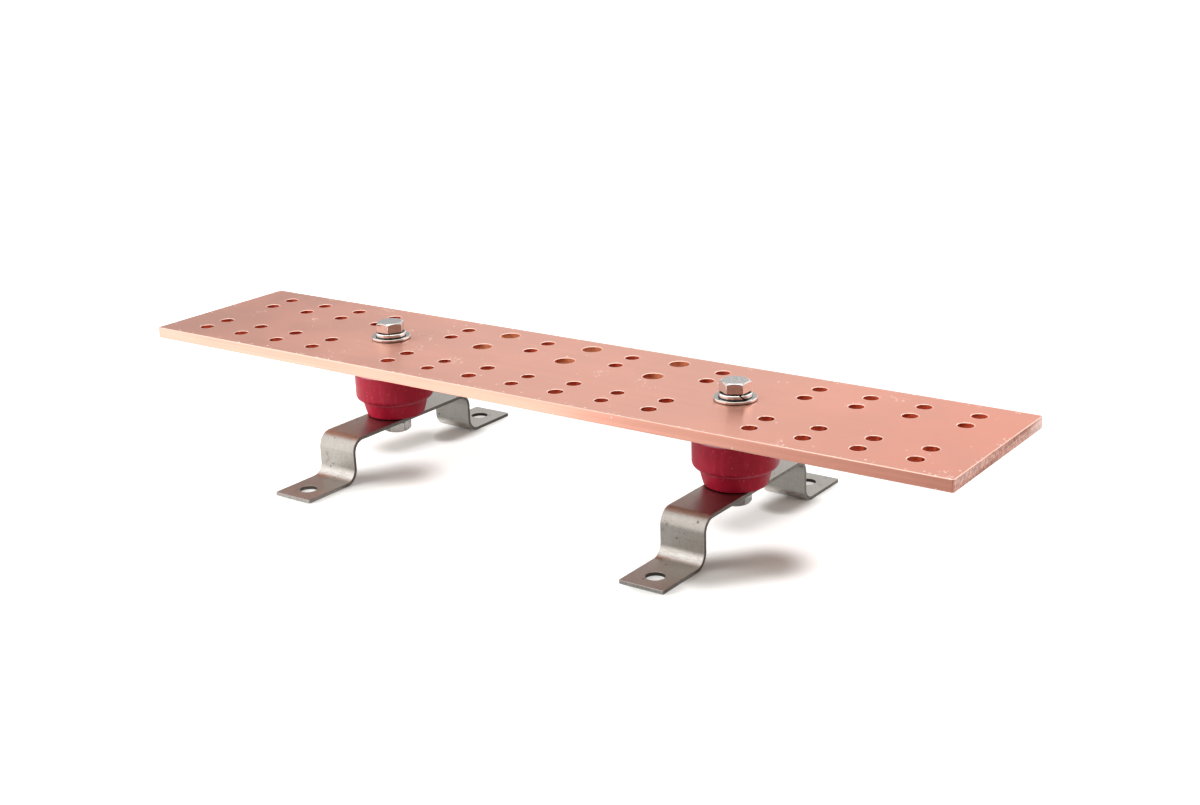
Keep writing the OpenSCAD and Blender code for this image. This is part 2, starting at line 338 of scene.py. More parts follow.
def break_profile(tree, edge, thickness, side, steps, ring):
    """Section of a plate's edge from its top to its bottom face, each corner rounded in so many
    steps, or cut flat in one, with a ring of the face beside it. It is drawn across a loop that
    lies on the edge: side is 1 for a hole and -1 for an outline."""
    line = add(tree, "GeometryNodeMeshLine", {"Count": 2 * steps + 4})
    index = add(tree, "GeometryNodeInputIndex")
    lower = maths(tree, "GREATER_THAN", index, steps + 1.5)
    step = size_of(tree, minus(tree, times(tree, lower, 2 * steps + 3), index))
    on_face = maths(tree, "LESS_THAN", step, 0.5)
    turn = times(tree, larger(tree, minus(tree, step, 1), 0), pi / 2 / steps)
    out = times(tree, minus(tree, 1, maths(tree, "SINE", turn)), edge)
    across = times(tree, plus(tree, out, times(tree, on_face, ring)), side)
    drop = times(tree, minus(tree, 1, maths(tree, "COSINE", turn)), edge)
    down = between(tree, lower, drop, minus(tree, thickness, drop))
    placed = add(tree, "GeometryNodeSetPosition", {
        "Geometry": line, "Position": vector_of(tree, across, down)})
    return add(tree, "GeometryNodeMeshToCurve", {"Mesh": placed})


drilled, given = shape_tree("Drilled bar", "Holes", (
    "Length", "Width", "Thickness", "Top", "Edge", "Corner", "Hole edge", "Ring"), "Copper", "Bar")
tree = drilled


def outline(tree, inset):
    """Rounded rectangle of the bar's size, moved in by the inset all round."""
    twice = times(tree, inset, 2)
    sharp = add(tree, "GeometryNodeCurvePrimitiveQuadrilateral", {
        "Width": minus(tree, given["Length"], twice),
        "Height": minus(tree, given["Width"], twice)})
    return add(tree, "GeometryNodeFilletCurve", {
        "Curve": sharp, "Count": corner_steps,
        "Radius": minus(tree, given["Corner"], inset)}, mode="POLY")


def stored_radius(tree):
    return add(tree, "GeometryNodeInputNamedAttribute", {"Name": "hole_r"}, data_type="FLOAT")


def hole_loops(tree, growth):
    """A circle on each hole's point, as wide as its hole and the given growth."""
    circle = add(tree, "GeometryNodeCurvePrimitiveCircle", {
        "Resolution": hole_points, "Radius": 1})
    wide = plus(tree, stored_radius(tree), growth)
    placed = add(tree, "GeometryNodeInstanceOnPoints", {
        "Points": given["Holes"], "Instance": circle, "Scale": vector_of(tree, wide, wide, 1)})
    return add(tree, "GeometryNodeRealizeInstances", {"Geometry": placed})


def joined(tree, *parts):
    made = add(tree, "GeometryNodeJoinGeometry")
    for part in reversed(parts):
        tree.links.new(part.outputs[0], made.inputs[0])
    return made


def lining(tree, loops, profile):
    """The wall that a profile draws on the loops, marked with its hole's radius, or 0 outside."""
    upright = add(tree, "GeometryNodeSetCurveNormal", {"Curve": loops}, mode="Z_UP")
    wall = add(tree, "GeometryNodeCurveToMesh", {"Curve": upright, "Profile Curve": profile})
    return add(tree, "GeometryNodeStoreNamedAttribute", {
        "Geometry": wall, "Name": "bore", "Value": stored_radius(tree)},
        data_type="FLOAT", domain="FACE")


def lifted(tree, part, height):
    return add(tree, "GeometryNodeTransform", {
        "Geometry": part, "Translation": vector_of(tree, z=height)})


def finished(tree, part, finish):
    """The end of a tree: instances made real, and the finish put on them."""
    whole = add(tree, "GeometryNodeRealizeInstances", {"Geometry": part})
    add(tree, "NodeGroupOutput", {0: add(tree, "GeometryNodeSetMaterial", {
        "Geometry": whole, "Material": finish})})


loops = joined(tree, outline(tree, given["Edge"]),
               hole_loops(tree, plus(tree, given["Hole edge"], given["Ring"])))
flat = add(tree, "GeometryNodeFillCurve", {"Curve": loops}, mode="NGONS")
underside = add(tree, "GeometryNodeFlipFaces", {
    "Mesh": lifted(tree, flat, times(tree, given["Thickness"], -1))})
outer = lining(tree, outline(tree, 0.0), break_profile(
    tree, given["Edge"], given["Thickness"], -1, edge_steps, 0.0))
bores = add(tree, "GeometryNodeFlipFaces", {"Mesh": lining(
    tree, hole_loops(tree, 0.0),
    break_profile(tree, given["Hole edge"], given["Thickness"], 1, 1, given["Ring"]))})
closed = add(tree, "GeometryNodeMergeByDistance", {
    "Geometry": joined(tree, flat, underside, outer, bores), "Distance": weld})
finished(tree, lifted(tree, closed, given["Top"]), given["Copper"])


def taken_off(holder):
    """The mesh that an object's modifiers make, as plain data. The object goes."""
    bpy.context.view_layer.update()
    made = bpy.data.meshes.new_from_object(
        holder.evaluated_get(bpy.context.evaluated_depsgraph_get()))
    holder.modifiers.clear()
    bpy.data.objects.remove(holder)
    return made


def grown(source, tree, **values):
    """The mesh that a tree makes of a source mesh and its named values."""
    seed = in_scene("seed", source)
    modifier = seed.modifiers.new("grow", "NODES")
    modifier.node_group = tree
    sockets = {item.name: item.identifier for item in tree.interface.items_tree
               if item.in_out == "INPUT"}
    for name, value in values.items():
        modifier[sockets[name.replace("_", " ")]] = value
    return taken_off(seed)


def worked(mesh, *steps):
    """The mesh that modifiers make of another, each given as its kind and its settings."""
    holder = in_scene("holder", mesh)
    for kind, settings in steps:
        step = holder.modifiers.new(kind, kind)
        for key, value in settings.items():
            setattr(step, key, value)
    return taken_off(holder)


def smooth(mesh):
    """Smooth shading that keeps flats flat and sharp edges sharp."""
    for polygon in mesh.polygons:
        polygon.use_smooth = True
    mesh.set_sharp_from_angle(angle=sharp_from)
    return worked(mesh, ("WEIGHTED_NORMAL", {"keep_sharp": True}))


def settle(name, mesh, slot, *nodes):
    """Puts a finished mesh on the object in the place of its CAD nodes."""
    mesh.name = name
    piece = in_scene(name, mesh)
    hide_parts(*nodes)
    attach(piece, "root")


def hole_map():
    """A point at each hole of the bar, with its radius, from the lug pairs and the two bolts."""
    found = []
    for mount in frame["record"]["mounts"]:
        if "_pair_" in mount["name"]:
            x, y, _ = mount["pos_m"]
            half = mount["dims"]["spacing_y_mm"] / 2 * MM
            radius = mount["dims"]["hole_r_mm"] * MM
            found += [(x, y + side * half, radius) for side in (-1, 1)]
    for node in ("bar_bolt_left", "bar_bolt_right"):
        middle = (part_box(node)[0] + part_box(node)[1]) / 2
        found.append((middle.x, middle.y, bolt_hole / 2))
    made = bpy.data.meshes.new("holes")
    made.from_pydata([(x, y, 0) for x, y, _ in found], [], [])
    radii = made.attributes.new("hole_r", "FLOAT", "POINT").data
    radii.foreach_set("value", [r for _, _, r in found])
    return made


def effect(name, **inputs):
    """A shader group that puts out one mask, with its inputs' defaults and their sockets."""
    group = bpy.data.node_groups.new(name, "ShaderNodeTree")
    for label, default in inputs.items():
        kind = "NodeSocketVector" if isinstance(default, tuple) else "NodeSocketFloat"
        socket(group, label, kind, default)
    socket(group, "Fac", "NodeSocketFloat", into="OUTPUT")
    return group, add(group, "NodeGroupInput").outputs


def use(tree, group, **values):
    return add(tree, "ShaderNodeGroup", values, node_tree=group)


def mixed(tree, share, a, b):
    """A colour that goes from a to b with the share."""
    return add(tree, "ShaderNodeMix", {0: share, 6: a, 7: b}, data_type="RGBA").outputs[2]


def coated(tree, colour, *coats):
    """A colour under coats of others, each laid on by its share."""
    for share, coat in coats:
        colour = mixed(tree, share, colour, coat)
    return colour


def normal_parts(tree, kind="Normal"):
    return parts_of(tree, add(tree, "ShaderNodeNewGeometry").outputs[kind])


def surface(tree, height, depth, strength, **inputs):
    """The shader of a finish, over a bump of so many metres."""
    bump = add(tree, "ShaderNodeBump", {"Height": height, "Distance": depth, "Strength": strength})
    shader = add(tree, "ShaderNodeBsdfPrincipled", {
        "Normal": bump, **{name.replace("_", " "): value for name, value in inputs.items()}})
    add(tree, "ShaderNodeOutputMaterial", {0: shader})


# Streaks: noise drawn out along one axis by its scale there, as rolling and brushing leave it.
streaks, given = effect("Streaks", Scale=(1, 1, 1))
add(streaks, "NodeGroupOutput", {0: add(streaks, "ShaderNodeTexNoise", {
    "Vector": vectors(streaks, "MULTIPLY", object_point(streaks), given["Scale"]),
    "Scale": 1, "Detail": 3, "Roughness": 0.6})})

# Clouds: soft blotches with a chosen edge, for tarnish, handling marks and uneven finish.
clouds, given = effect("Clouds", Scale=20.0, Low=0.4, High=0.6)
noise = add(clouds, "ShaderNodeTexNoise", {
    "Vector": object_point(clouds), "Scale": given["Scale"], "Detail": 4, "Roughness": 0.55})
add(clouds, "NodeGroupOutput", {0: ramp(clouds, noise, given["Low"], given["High"])})

# Flecks: separate small specks of dust, grit or pitting. Share is how many cells hold one.
flecks, given = effect("Flecks", Scale=500.0, Share=0.1, Size=0.3)
cells = add(flecks, "ShaderNodeTexVoronoi", {
    "Vector": object_point(flecks), "Scale": given["Scale"]}).outputs
chance, girth, _ = add(flecks, "ShaderNodeSeparateColor", {0: cells["Color"]}).outputs
kept = maths(flecks, "LESS_THAN", chance, given["Share"])
reach = times(flecks, given["Size"], plus(flecks, girth, 0.3))
near = ramp(flecks, maths(flecks, "DIVIDE", cells["Distance"], reach), 0.6, 1.0, 1.0, 0.0)
add(flecks, "NodeGroupOutput", {0: times(flecks, near, kept)})

copper = bpy.data.materials.new("bare copper")
tree = emptied(copper)
x, y, _ = parts_of(tree, object_point(tree))
to_end, to_front, to_top = normal_parts(tree, "True Normal")
level = size_of(tree, to_top)
hole_r = add(tree, "ShaderNodeAttribute", attribute_name="bore").outputs["Fac"]
in_hole = maths(tree, "GREATER_THAN", hole_r, 0.001)
bore = times(tree, in_hole, ramp(tree, level, 0.45, 0.15))
big_bore = ramp(tree, hole_r, 0.0045, 0.0054)
ring = times(tree, in_hole, ramp(tree, level, 0.3, 0.6))
arris = times(tree, ramp(tree, level, 0.995, 0.97), ramp(tree, level, 0.3, 0.6))
arris = times(tree, arris, ramp(tree, to_top, -0.1, 0.1, 0.7, 1.0))
end = times(tree, ramp(tree, size_of(tree, to_end), 0.8, 0.95), minus(tree, 1, in_hole))
face = ramp(tree, to_top, 0.9, 0.99)
upright = ramp(tree, size_of(tree, to_front), 0.8, 0.95)
from_edge = maths(tree, "MINIMUM", minus(tree, bar_size.y / 2, size_of(tree, y)),
                  minus(tree, bar_size.x / 2, size_of(tree, x)))
margin = ramp(tree, from_edge, 0.0, 0.005, 0.6, 0.0)
fine = use(tree, streaks, Scale=(14, 1500, 1500))
broad = use(tree, streaks, Scale=(2.5, 150, 150))
edge_line = use(tree, streaks, Scale=(7, 600, 600))
scratch = use(tree, streaks, Scale=(90, 700, 700))
saw = use(tree, streaks, Scale=(400, 1500, 480))
patch = use(tree, clouds, Scale=14.0, Low=0.35, High=0.68)
blotch = use(tree, clouds, Scale=38.0, Low=0.6, High=0.7)
grubby = times(tree, larger(tree, margin, blotch), face)
dust = use(tree, flecks, Scale=700.0, Share=plus(tree, 0.004, times(tree, grubby, 0.42)), Size=0.5)
scuff = times(tree, ramp(tree, scratch, 0.6, 0.7), times(tree, grubby, 0.5))
pale = larger(tree, times(tree, dust, 0.7), scuff)
rear_paler = times(tree, ramp(tree, y, 0.03, 0.05), 0.55)
sawn = mixed(tree, ramp(tree, saw, 0.35, 0.65), (0.33, 0.158, 0.125, 1), (0.66, 0.385, 0.322, 1))
# The drilled walls are darker and redder: partly their rough drilled face, partly painted shade
# inside the holes.
drilled_wall = mixed(tree, big_bore, (0.60, 0.098, 0.046, 1), (0.70, 0.24, 0.12, 1))
metal = mixed(tree, patch, (0.785, 0.383, 0.286, 1), (0.83, 0.416, 0.318, 1))
colour = coated(
    tree, metal,
    (ramp(tree, x, 0.08, 0.26, 0.0, 0.9), (0.755, 0.312, 0.227, 1)),  # redder to the right
    # Duller to the left: partly tarnish, partly a painted shade of the dimmer left end.
    (ramp(tree, x, -0.1, -0.24), (0.725, 0.365, 0.28, 1)),  # duller to the left
    (ramp(tree, broad, 0.3, 0.7, 0.0, 0.3), (0.70, 0.34, 0.26, 1)),  # the mill's bands
    (ramp(tree, fine, 0.35, 0.65, 0.0, 0.2), (0.68, 0.34, 0.27, 1)),  # and its fine grain
    # The long edges are paler to the left, a painted highlight, with drawn lines along them.
    (times(tree, upright, ramp(tree, x, 0.05, -0.25, 0.0, 0.16)), (0.90, 0.66, 0.52, 1)),
    (times(tree, upright, ramp(tree, edge_line, 0.4, 0.68, 0.0, 0.4)), (0.60, 0.27, 0.20, 1)),
    # The rims and rounded edges are painted paler: partly burnish, partly a painted highlight.
    (times(tree, larger(tree, arris, ring), 0.56), (1.0, 0.80, 0.69, 1)),  # deburred rims
    (pale, (0.93, 0.78, 0.70, 1)),  # dust and scuffs
    (end, mixed(tree, rear_paler, sawn, (0.86, 0.68, 0.63, 1))),  # sawn ends, paler to the rear
    (bore, drilled_wall))
rough = plus(tree, ramp(tree, patch, 0, 1, 0.285, 0.335), times(tree, pale, 0.3))
rough = plus(tree, rough, times(tree, larger(tree, bore, end), 0.2))
grain = plus(tree, times(tree, fine, 0.6), times(tree, broad, 1.2))
across = add(tree, "ShaderNodeTangent", direction_type="RADIAL", axis="X")
surface(tree, between(tree, end, grain, times(tree, saw, 14)), 0.012 * MM, 1, Base_Color=colour,
        Roughness=rough, Metallic=minus(tree, 1, times(tree, pale, 0.6)), Anisotropic=0.94,
        Tangent=across)

settle("copper_bar", smooth(grown(
    hole_map(), drilled, Length=bar_size.x, Width=bar_size.y, Thickness=bar_size.z,
    Top=bar_high.z, Edge=bar_edge, Corner=bar_corner, Hole_edge=hole_edge, Ring=burnish_and_highlight,
    Copper=copper)), "copper", "busbar")


# ---- Standoff insulators ----
# Compression-moulded glass-fibre polyester, one dark red body of a wide band between two cones,
# turned out of a two-part mould whose parting lips run round the foot of each shoulder.

insulator_low, insulator_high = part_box("insulator_left")
standoff_x = (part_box("insulator_right")[0].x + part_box("insulator_right")[1].x) / 2
drum_r = (insulator_high.x - insulator_low.x) / 2
half_h = (insulator_high.z - insulator_low.z) / 2
insulator_mid = (insulator_high.z + insulator_low.z) / 2
drum_half = 9.525 * MM
shoulder_r = 3.3 * MM
neck_r = 18.8 * MM
end_r = 16.5 * MM
end_round = 0.7 * MM
cavity_r = 8.01 * MM
cavity_depth = 12.75 * MM
mouth_edge = 0.2 * MM
lip_w = 0.35 * MM
lip_h = 0.5 * MM
lip_round = 0.12 * MM
lip_root = 0.1 * MM
turns = 160


def arc(x, z, r, start, stop, count):
    """Points of an arc in a half section, by angles in degrees."""
    angles = [radians(start + (stop - start) * i / count) for i in range(count + 1)]
    return [(x + r * cos(a), z + r * sin(a)) for a in angles]


def skinned(rings, closed=False, capped=False):
    """A mesh over rings of points, each joined to the next, and the last to the first where it
    is closed. A ring of one point is a pole. The rings run up round an outside that faces out."""
    count = max(len(ring) for ring in rings)
    points, faces, numbered = [], [], []
    for ring in rings:
        numbered.append(list(range(len(points), len(points) + len(ring))))
        points += ring
    for a, b in zip(numbered, numbered[1:] + numbered[:1] if closed else numbered[1:]):
        for i in range(count):
            j = (i + 1) % count
            corner = (a[i % len(a)], a[j % len(a)], b[j % len(b)], b[i % len(b)])
            faces.append(tuple(dict.fromkeys(corner)))
    if capped:
        faces += [tuple(reversed(numbered[0])), tuple(numbered[-1])]
    made = bpy.data.meshes.new("skin")
    made.from_pydata(points, [], faces)
    return made


def turned(section, count, height, closed=False):
    """A solid of revolution about Z, moved up to a height, from a half section of (radius,
    height) points that run with the outside on their right hand. A radius of 0 makes a pole."""
    angles = [2 * pi * i / count for i in range(count)]
    return skinned([[(r * cos(a), r * sin(a), height + z) for a in (angles if r else [0])]
                    for r, z in section], closed)


pair_tree, given = shape_tree("Pair on the standoffs", "Piece", (
    "Standoff X", "Left turn", "Right turn"), "Finish", "Pair")
tree = pair_tree
along = vector_of(tree, given["Standoff X"])
axes = add(tree, "GeometryNodeMeshLine", {
    "Count": 2, "Start Location": vectors(tree, "MULTIPLY", along, (-1, 0, 0)),
    "Offset": vectors(tree, "MULTIPLY", along, (2, 0, 0))})
turn = between(tree, add(tree, "GeometryNodeInputIndex"), given["Left turn"], given["Right turn"])
finished(tree, add(tree, "GeometryNodeInstanceOnPoints", {
    "Points": axes, "Instance": given["Piece"], "Rotation": vector_of(tree, z=turn)}),
    given["Finish"])


def paired(source, finish, left_turn=0.0, right_turn=0.0):
    """A piece on the axis of each insulator, turned by so many degrees."""
    return grown(source, pair_tree, Standoff_X=standoff_x, Left_turn=radians(left_turn),
                 Right_turn=radians(right_turn), Finish=finish)


def insulator_half():
    """Outside of one half, from the middle of the band to the end's mouth, as (radius, height)."""
    lip_z = drum_half + lip_h
    cone_h = half_h - drum_half

    def cone(z):
        return neck_r - (neck_r - end_r) / cone_h * (z - drum_half)

    path = [(drum_r, 0), (drum_r, (drum_half - shoulder_r) / 2)]
    path += arc(drum_r - shoulder_r, drum_half - shoulder_r, shoulder_r, 0, 90, 12)
    path += [(neck_r + lip_w + lip_root, drum_half)]
    path += arc(neck_r + lip_w - lip_round, lip_z - lip_round, lip_round, 0, 90, 4)
    path += [(cone(lip_z) + 0.8 * lip_root, lip_z), (cone(lip_z + lip_root), lip_z + lip_root)]
    path += [(cone(z), z) for z in (drum_half + cone_h * 0.35, drum_half + cone_h * 0.7)]
    path += arc(end_r - end_round, half_h - end_round, end_round, 8, 90, 5)
    path += [(cavity_r + mouth_edge, half_h), (cavity_r, half_h - mouth_edge)]
    return path + [(cavity_r, half_h - cavity_depth), (0, half_h - cavity_depth)]


upper = insulator_half()
section = [(r, -z) for r, z in reversed(upper)] + upper[1:]
insulator_mesh = turned(section, turns, insulator_mid)

polyester = bpy.data.materials.new("red glass polyester")
tree = emptied(polyester)
_, _, z = parts_of(tree, object_point(tree))
from_middle = size_of(tree, minus(tree, z, insulator_mid))


def band(low, low_whole, high_whole, high):
    """1 between two distances above each shoulder's foot, fading out at both ends."""
    return times(tree, ramp(tree, from_middle, drum_half + low * MM, drum_half + low_whole * MM),
                 ramp(tree, from_middle, drum_half + high_whole * MM, drum_half + high * MM, 1, 0))


cloud = use(tree, clouds, Scale=60.0, Low=0.3, High=0.7)
mottle = use(tree, clouds, Scale=700.0, Low=0.35, High=0.65)
rubbed = use(tree, streaks, Scale=(520, 520, 150))
near_lip = ramp(tree, size_of(tree, minus(tree, from_middle, drum_half)), 0.0, 0.003, 1.0, 0.0)
specks = use(tree, flecks, Scale=1900.0, Share=plus(tree, 0.02, times(tree, near_lip, 0.18)),
             Size=0.45)
upward_sheen = ramp(tree, normal_parts(tree)[2], 0.03, 0.25)
colour = coated(
    tree, mixed(tree, cloud, (0.345, 0.005, 0.024, 1), (0.42, 0.007, 0.032, 1)),
    (times(tree, mottle, 0.25), (0.27, 0.008, 0.022, 1)),
    (ramp(tree, rubbed, 0.5, 0.72, 0.0, 0.4), (0.58, 0.03, 0.075, 1)),  # rubbed in the mould
    (times(tree, upward_sheen, 0.8), (0.62, 0.36, 0.46, 1)),  # painted sheen on what faces up
    (times(tree, band(-0.1, 0.1, 0.35, 0.55), 0.38), (0.70, 0.22, 0.28, 1)),  # paler along the lip
    (times(tree, band(0.5, 0.6, 0.7, 1.3), 0.22), (0.10, 0.004, 0.01, 1)),  # painted shade below it
    (times(tree, specks, 0.5), (0.80, 0.40, 0.42, 1)))
peel = add(tree, "ShaderNodeTexNoise", {"Vector": object_point(tree), "Scale": 700, "Detail": 3})
surface(tree, peel, 0.04 * MM, 0.6, Base_Color=colour, IOR=1.5, Specular_IOR_Level=0.17,
        Roughness=ramp(tree, cloud, 0.0, 1.0, 0.34, 0.46))

settle("insulators", smooth(paired(insulator_mesh, polyester)), "insulator",
       "insulator_left", "insulator_right")


# ---- Threaded inserts ----
# Turned brass bushes, moulded into both ends of each insulator and locked there by a groove.
# Only their rims stand proud, and the CAD nodes show as they are with this finish.

brass = bpy.data.materials.new("turned brass")
tree = emptied(brass)
rings = use(tree, streaks, Scale=(120, 120, 4000))
surface(tree, rings, 0.01 * MM, 1, Metallic=1.0, Roughness=ramp(tree, rings, 0.3, 0.7, 0.25, 0.4),
        Base_Color=mixed(tree, rings, (0.68, 0.50, 0.22, 1), (0.80, 0.62, 0.30, 1)))
for name, node in frame["nodes"].items():
    if name.startswith("insert_"):
        node.data.materials.clear()
        node.data.materials.append(brass)


# ---- Hexagon bolts ----
# Cold-headed stainless bolts with chamfered hexagon heads and a round bearing face. One pair
# clamps the bar from above, the other comes up through the brackets' arches from below.

head_af = 14.29 * MM
corner_r = 0.5 * MM
flat_half = (head_af / 2 - corner_r) * tan(pi / 6)
bearing_r = head_af / 2 - 0.3 * MM
bearing_h = 0.4 * MM
bearing_edge = 0.1 * MM
head_edge = 0.15 * MM
crown_r = head_af / 2 - 0.5 * MM
crown_slope = tan(radians(30))
crown_edge = 0.15 * MM
crown_dish = 0.04 * MM
chamfer_edge = 0.2 * MM
shank_r = 9.525 / 2 * MM
tip_edge = 1.2 * MM


def hexagon(angle):
    """Radius of a hexagon with slightly rounded corners, one of them at angle 0."""
    local = angle % (pi / 3) - pi / 6
    if abs(head_af / 2 * tan(local)) <= flat_half:
        return head_af / 2 / cos(local)
    off = pi / 6 - abs(local)
    middle = (head_af / 2 - corner_r) / cos(pi / 6)
    return middle * cos(off) + sqrt(corner_r ** 2 - (middle * sin(off)) ** 2)


def head_angles():
    """Angles round the head: close together at each corner and even along the flats."""
    flat_end = atan2(flat_half, head_af / 2)
    local = [flat_end * i / 6 for i in range(-6, 7)]
    local += [flat_end + (pi / 3 - 2 * flat_end) * i / 6 for i in range(1, 6)]
    return [(side + 0.5) * pi / 3 + a for side in range(6) for a in local]


def bolt_mesh(head_h, reach):
    """A bolt on Z with its bearing face at 0, its head above and its shank below."""
    angles = head_angles()

    def chamfer(r):
        return head_h - (r - crown_r) * crown_slope

    def round_ring(r, z):
        return [(r * cos(a), r * sin(a), z) for a in angles]

    def six_sided(inset, height):
        """A ring inside the hexagon. Its height follows the hexagon's own radius."""
        return [((hexagon(a) - inset) * cos(a), (hexagon(a) - inset) * sin(a),
                 height(hexagon(a))) for a in angles]

    return skinned([
        [(0, 0, -reach)],
        round_ring(shank_r - tip_edge, -reach),
        round_ring(shank_r, tip_edge - reach),
        round_ring(shank_r, 0),
        round_ring(bearing_r - bearing_edge, 0),
        round_ring(bearing_r, bearing_edge),
        round_ring(bearing_r, bearing_h),
        six_sided(head_edge, lambda r: bearing_h),
        six_sided(0, lambda r: bearing_h + head_edge),
        six_sided(0, lambda r: chamfer(r) - 0.8 * chamfer_edge),
        six_sided(0.25 * chamfer_edge, lambda r: chamfer(r) - 0.05 * chamfer_edge),
        six_sided(chamfer_edge, lambda r: chamfer(r - chamfer_edge)),
        round_ring(crown_r + 0.8 * crown_edge, chamfer(crown_r + 0.8 * crown_edge)),
        round_ring(crown_r, head_h - 0.5 * crown_dish),
        round_ring(crown_r - crown_edge, head_h),
        round_ring(crown_r / 2, head_h - 0.75 * crown_dish),
        [(0, 0, head_h - crown_dish)]])


def placed(mesh, height, flipped=False):
    """A mesh on the Z axis moved up to a height, or turned head down first."""
    for vertex in mesh.vertices:
        x, y, z = vertex.co
        vertex.co = (x, -y, height - z) if flipped else (x, y, height + z)
    return mesh


def stainless(name, colour, roughness, lines, pits, mottling, top=1.0, painted_shade_bands=()):
    """Bright stainless steel with drawn or turned lines and a few dark pits. Where top is under
    1, level faces are mottled and that much as bright. Each pair of heights holds painted shade."""
    made = bpy.data.materials.new(name)
    tree = emptied(made)

    def shaded(share):
        return tuple(c * share for c in colour) + (1,)

    line = use(tree, streaks, Scale=lines)
    cloud = use(tree, clouds, Scale=420.0, Low=0.35, High=0.7)
    pit = use(tree, flecks, Scale=1500.0, Share=pits, Size=0.4)
    shade = coated(
        tree, shaded(1),
        (ramp(tree, line, 0.3, 0.7, 0.0, mottling), shaded(0.7)),
        (times(tree, cloud, mottling), shaded(0.7)),
        (times(tree, pit, 0.6), (0.06, 0.05, 0.045, 1)))
    if top < 1:
        level = ramp(tree, size_of(tree, normal_parts(tree)[2]), 0.93, 0.99)
        mottle = use(tree, clouds, Scale=1300.0, Low=0.35, High=0.65)
        dull = mixed(tree, mottle, shaded(top * 0.72), shaded(top * 1.25))
        shade = mixed(tree, level, shade, dull)
    z = parts_of(tree, object_point(tree))[2]
    for low, high in painted_shade_bands:
        held = times(tree, maths(tree, "GREATER_THAN", z, low), maths(tree, "LESS_THAN", z, high))
        shade = mixed(tree, times(tree, held, 0.85), shade, (0.05, 0.04, 0.035, 1))
    surface(tree, plus(tree, line, times(tree, cloud, 1.5)), 0.006 * MM, mottling * 2,
            Base_Color=shade, Metallic=1.0,
            Roughness=ramp(tree, cloud, 0, 1, roughness, roughness + 0.06))
    return made


bar_bolt_low, bar_bolt_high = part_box("bar_bolt_left")
lock_low, lock_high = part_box("bar_lock_washer_left")
head_h = bar_bolt_high.z - lock_high.z
# The band just above the lock washer darkens the head's underside as painted shade.
bolt_steel = stainless(
    "bright stainless", (0.67, 0.645, 0.62), roughness=0.1, lines=(500, 500, 500), pits=0.03,
    mottling=0.2, top=0.62, painted_shade_bands=[(lock_high.z - 0.1 * MM, lock_high.z + 0.42 * MM)])
settle("bar_bolts", smooth(paired(
    placed(bolt_mesh(head_h, lock_high.z - bar_bolt_low.z), lock_high.z), bolt_steel, 1, 28)),
    "bolt", "bar_bolt_left", "bar_bolt_right")

under_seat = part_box("bracket_lock_washer_left")[0].z
bracket_bolt_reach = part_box("bracket_bolt_left")[1].z - under_seat
# The lower pair, in the shade under the arches, gets a darker copy of the steel: painted shade.
shaded_bolt_steel = stainless(
    "stainless in painted shade", (0.38, 0.36, 0.34), roughness=0.1, lines=(500, 500, 500), pits=0.05,
    mottling=0.35, top=0.7)
settle("bracket_bolts", smooth(paired(
    placed(bolt_mesh(head_h, bracket_bolt_reach), under_seat, flipped=True), shaded_bolt_steel, 44, 36)),
    "bolt", "bracket_bolt_left", "bracket_bolt_right")


# ---- Split lock washers ----
# Coiled from square stainless spring wire, with a slanted split whose two ends bite. Each is
# pressed flat between its bolt's head and what that bolt holds.

lock_w = 3.5 * MM
lock_t = 2.4 * MM
lock_inner = bolt_hole / 2
lock_round = 0.9 * MM
lock_edge = 0.4 * MM
inner_edge = 0.15 * MM
half_split = 0.49 * MM
lock_steps = 96


def lock_washer_mesh():
    """An open ring on Z from 0 up, split at angle 0 with ends that slant at 45 degrees."""
    inner, outer, middle_r = lock_inner, lock_inner + lock_w, lock_inner + lock_w / 2
    section = [(inner + inner_edge, 0), *arc(outer - lock_edge, lock_edge, lock_edge, -90, 0, 4),
               *arc(outer - lock_round, lock_t - lock_round, lock_round, 0, 90, 6),
               (inner + inner_edge, lock_t), (inner, lock_t - inner_edge), (inner, inner_edge)]

    def ring(share):
        points = []
        for r, z in section:
            slant = (z - lock_t / 2) / middle_r
            angle = half_split / r - slant + (2 * pi - 2 * half_split / r) * share
            points.append((r * cos(angle), r * sin(angle), z))
        return points

    return skinned([ring(i / lock_steps) for i in range(lock_steps, -1, -1)], capped=True)


# Its two bands are painted shade: below, where it sits on the flat washer, and above, under the
# head.
washer_steel = stainless(
    "bright spring stainless", (0.80, 0.775, 0.75), roughness=0.09, lines=(900, 900, 200),
    pits=0.02, mottling=0.15, painted_shade_bands=[(lock_low.z - 0.1 * MM, lock_low.z + 0.55 * MM),
                                     (lock_high.z - 0.15 * MM, lock_high.z + 0.1 * MM)])
settle("bar_lock_washers", smooth(paired(
    placed(lock_washer_mesh(), lock_low.z), washer_steel, 118, -34)),
    "lock_washer", "bar_lock_washer_left", "bar_lock_washer_right")
settle("bracket_lock_washers", smooth(paired(
    placed(lock_washer_mesh(), under_seat), washer_steel, 152, 75)),
    "lock_washer", "bracket_lock_washer_left", "bracket_lock_washer_right")


# ---- Flat washers ----
# Stamped from stainless sheet, one under each lock washer to spread its load over the copper.
# The punch leaves the upper outer edge round and the lower one sharp.

